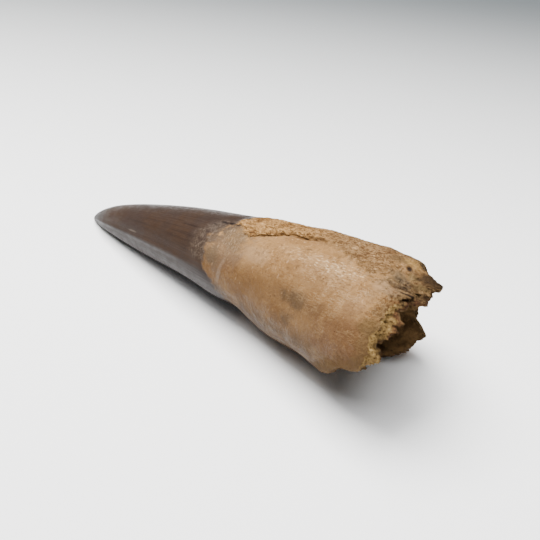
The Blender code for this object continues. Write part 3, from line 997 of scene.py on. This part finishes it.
def tooth_finish(settings):
    """The whole tooth: glossy enamel, satin root, dull crust, spongy break and a hollow darkened with
    painted shade.
    """
    finish = Finish("fossil tooth surface")
    ragged = finish.wobble(1.8 * MM, 2.6, detail=6.0)
    root = finish.ramp(finish.plus(finish.attribute("past_enamel"), ragged), -0.7, 0.7)
    crust_edge = finish.wobble(1.6 * MM, 1.4, detail=5.0)
    crust = finish.ramp(finish.plus(finish.attribute("crust_cover"), crust_edge), 0.25, 0.75)
    wall_edge = finish.wobble(1.2 * MM, 1.2, detail=4.0)
    broken = finish.ramp(finish.plus(finish.attribute("broken_wall"), wall_edge), 0.35, 0.65)
    hollow = finish.attribute("inside")

    colour = finish.mix(root, enamel_colour(finish, settings), root_colour(finish, settings))
    colour = scuffed(finish, colour)
    colour = finish.mix(crust, colour, crust_colour(finish, settings))
    crevice = finish.plus(finish.attribute("crevice_shade"), crust_edge)
    # Painted shade in the crevice under the crust's lower edge
    colour = finish.mix(finish.ramp(crevice, 0.55, 1.0, 0.0, 0.85), colour, CREVICE_PAINTED_SHADE)
    splinters = finish.plus(finish.attribute("splinter_cover"), crust_edge)
    colour = finish.mix(finish.ramp(splinters, 0.1, 1.1, 0.0, 0.9), colour, splinter_colour(finish))
    rim = finish.plus(finish.attribute("past_break"), finish.wobble(2.0 * MM, 6.0))
    colour = rim_marked(finish, colour, rim)
    colour = finish.mix(broken, colour, break_colour(finish, settings))
    colour = finish.mix(hollow, colour, hollow_colour(finish))
    finish.put(finish.shader.inputs["Base Color"], colour)

    dull = finish.maths("MAXIMUM", crust, finish.maths("MAXIMUM", broken, hollow))
    dull = finish.maths("MAXIMUM", dull, finish.ramp(rim, -6.0, -2.0))
    not_root = finish.minus(1.0, root)
    finish.put(finish.shader.inputs["Roughness"], roughness(finish, root, not_root, dull))
    finish.shader.inputs["Specular IOR Level"].default_value = TOOTH_REFLECTION
    finish.put(finish.shader.inputs["Normal"], fine_relief(finish, root, not_root, dull))
    return finish.material


# The camera looks at this place from this direction and distance, as the photograph does
AIM = Vector((4.75 * MM, 11.8 * MM, 5.1 * MM))
CAMERA_AZIMUTH = math.radians(40.4)
CAMERA_ELEVATION = math.radians(38.0)
CAMERA_DISTANCE = 223.0 * MM
NEAREST_SEEN = 10.0 * MM

# The floor's size in metres and its finish
FLOOR_SIZE = 6.0
FLOOR_ROUGHNESS = 0.6
FLOOR_REFLECTION = 0.2

# The floor is painted grey behind the tooth as shade, along this direction and between these distances
# in metres
FLOOR_SHADE_AZIMUTH = math.radians(22.0)
FLOOR_SHADE_START = -0.03
FLOOR_SHADE_END = 0.32

# Azimuth and elevation in degrees, distance and width in metres, and colour of each light
WINDOW_LIGHT = (-100.0, 69.0, 0.72, 0.50, (1.0, 0.99, 0.97))
OVERHEAD_LIGHT = (20.0, 88.0, 0.80, 0.80, (0.98, 0.99, 1.0))

# The even light from all round
AIR_COLOUR = (0.93, 0.96, 1.0, 1.0)
AIR_STRENGTH = 0.13


def way_to(azimuth, elevation):
    """Direction from the object, azimuth 0 along -Y and turning towards +X."""
    flat = math.cos(elevation)
    return Vector((math.sin(azimuth) * flat, -math.cos(azimuth) * flat, math.sin(elevation)))


def add_camera(settings):
    """Camera at the photograph's angle."""
    deselect_all()
    back = way_to(CAMERA_AZIMUTH, CAMERA_ELEVATION)
    bpy.ops.object.camera_add(location=AIM + back * CAMERA_DISTANCE)
    camera = bpy.context.object
    camera.name = "photo camera"
    camera.rotation_euler = back.to_track_quat("Z", "Y").to_euler()
    camera.data.angle = settings.view_angle
    camera.data.clip_start = NEAREST_SEEN
    bpy.context.scene.camera = camera


def add_light(name, power, azimuth, elevation, distance, size, colour):
    """A soft square light that faces the tooth."""
    deselect_all()
    back = way_to(math.radians(azimuth), math.radians(elevation))
    bpy.ops.object.light_add(type="AREA", location=back * distance)
    light = bpy.context.object
    light.name = name
    light.rotation_euler = back.to_track_quat("Z", "Y").to_euler()
    light.data.shape = "SQUARE"
    light.data.size = size
    light.data.energy = power
    light.data.color = colour


def add_floor(settings):
    """Wide floor with painted shade from near white in front to grey behind the tooth."""
    deselect_all()
    bpy.ops.mesh.primitive_plane_add(size=FLOOR_SIZE, location=(0.0, 0.0, 0.0))
    floor = bpy.context.object
    floor.name = "studio floor"
    paper = Finish("pale studio paper")
    spot = paper.parts(paper.place)
    behind = paper.times(spot["X"], -math.sin(FLOOR_SHADE_AZIMUTH))
    behind = paper.plus(behind, paper.times(spot["Y"], math.cos(FLOOR_SHADE_AZIMUTH)))
    shade = paper.ramp(behind, FLOOR_SHADE_START, FLOOR_SHADE_END)
    colour = paper.mix(shade, settings.floor, settings.far_floor_painted_shade)
    paper.put(paper.shader.inputs["Base Color"], colour)
    paper.shader.inputs["Roughness"].default_value = FLOOR_ROUGHNESS
    paper.shader.inputs["Specular IOR Level"].default_value = FLOOR_REFLECTION
    floor.data.materials.append(paper.material)
    return floor


def set_air():
    """Even pale light from all round."""
    world = bpy.data.worlds.new("studio air")
    world.use_nodes = True
    background = world.node_tree.nodes["Background"]
    background.inputs["Color"].default_value = AIR_COLOUR
    background.inputs["Strength"].default_value = AIR_STRENGTH
    bpy.context.scene.world = world


class TOOTH_OT_model(bpy.types.Operator):
    """Models the fine tooth and gives it its finish"""

    bl_idname = "fossil_tooth.model"
    bl_label = "Model Fossil Tooth"

    def execute(self, context):
        tooth = model_tooth(context.scene.tooth_form)
        tooth.data.materials.append(tooth_finish(context.scene.tooth_finish))
        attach(tooth, "root")
        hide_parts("tooth")
        return {"FINISHED"}


class TOOTH_OT_stage(bpy.types.Operator):
    """Adds the floor, the lights and the camera"""

    bl_idname = "fossil_tooth.stage"
    bl_label = "Set the Stage"

    def execute(self, context):
        settings = context.scene.tooth_studio
        add_floor(settings)
        add_light("window light", settings.key_power, *WINDOW_LIGHT)
        add_light("overhead light", settings.overhead_power, *OVERHEAD_LIGHT)
        set_air()
        add_camera(settings)
        return {"FINISHED"}


class TOOTH_PT_panel(bpy.types.Panel):
    """Lists the steps and what they can be given"""

    bl_idname = "TOOTH_PT_panel"
    bl_label = "Fossil Tooth"
    bl_space_type = "VIEW_3D"
    bl_region_type = "UI"
    bl_category = "Fossil Tooth"

    def draw(self, context):
        groups = (
            (context.scene.tooth_form, TOOTH_OT_model.bl_idname),
            (context.scene.tooth_finish, None),
            (context.scene.tooth_studio, TOOTH_OT_stage.bl_idname),
        )
        for settings, step in groups:
            box = self.layout.box()
            for name in settings.bl_rna.properties.keys():
                if name not in {"rna_type", "name"}:
                    box.prop(settings, name)
            if step:
                box.operator(step)


CLASSES = (ToothForm, ToothFinish, StudioSettings, TOOTH_OT_model, TOOTH_OT_stage, TOOTH_PT_panel)


def register():
    """Registers the classes and gives the scene their settings."""
    for cls in CLASSES:
        bpy.utils.register_class(cls)
    bpy.types.Scene.tooth_form = PointerProperty(type=ToothForm)
    bpy.types.Scene.tooth_finish = PointerProperty(type=ToothFinish)
    bpy.types.Scene.tooth_studio = PointerProperty(type=StudioSettings)


def unregister():
    """Takes the settings and the classes away again."""
    del bpy.types.Scene.tooth_studio
    del bpy.types.Scene.tooth_finish
    del bpy.types.Scene.tooth_form
    for cls in reversed(CLASSES):
        bpy.utils.unregister_class(cls)


def main():
    """Models the tooth and sets the stage."""
    register()
    bpy.ops.fossil_tooth.model()
    bpy.ops.fossil_tooth.stage()


if __name__ == "__main__":
    main()
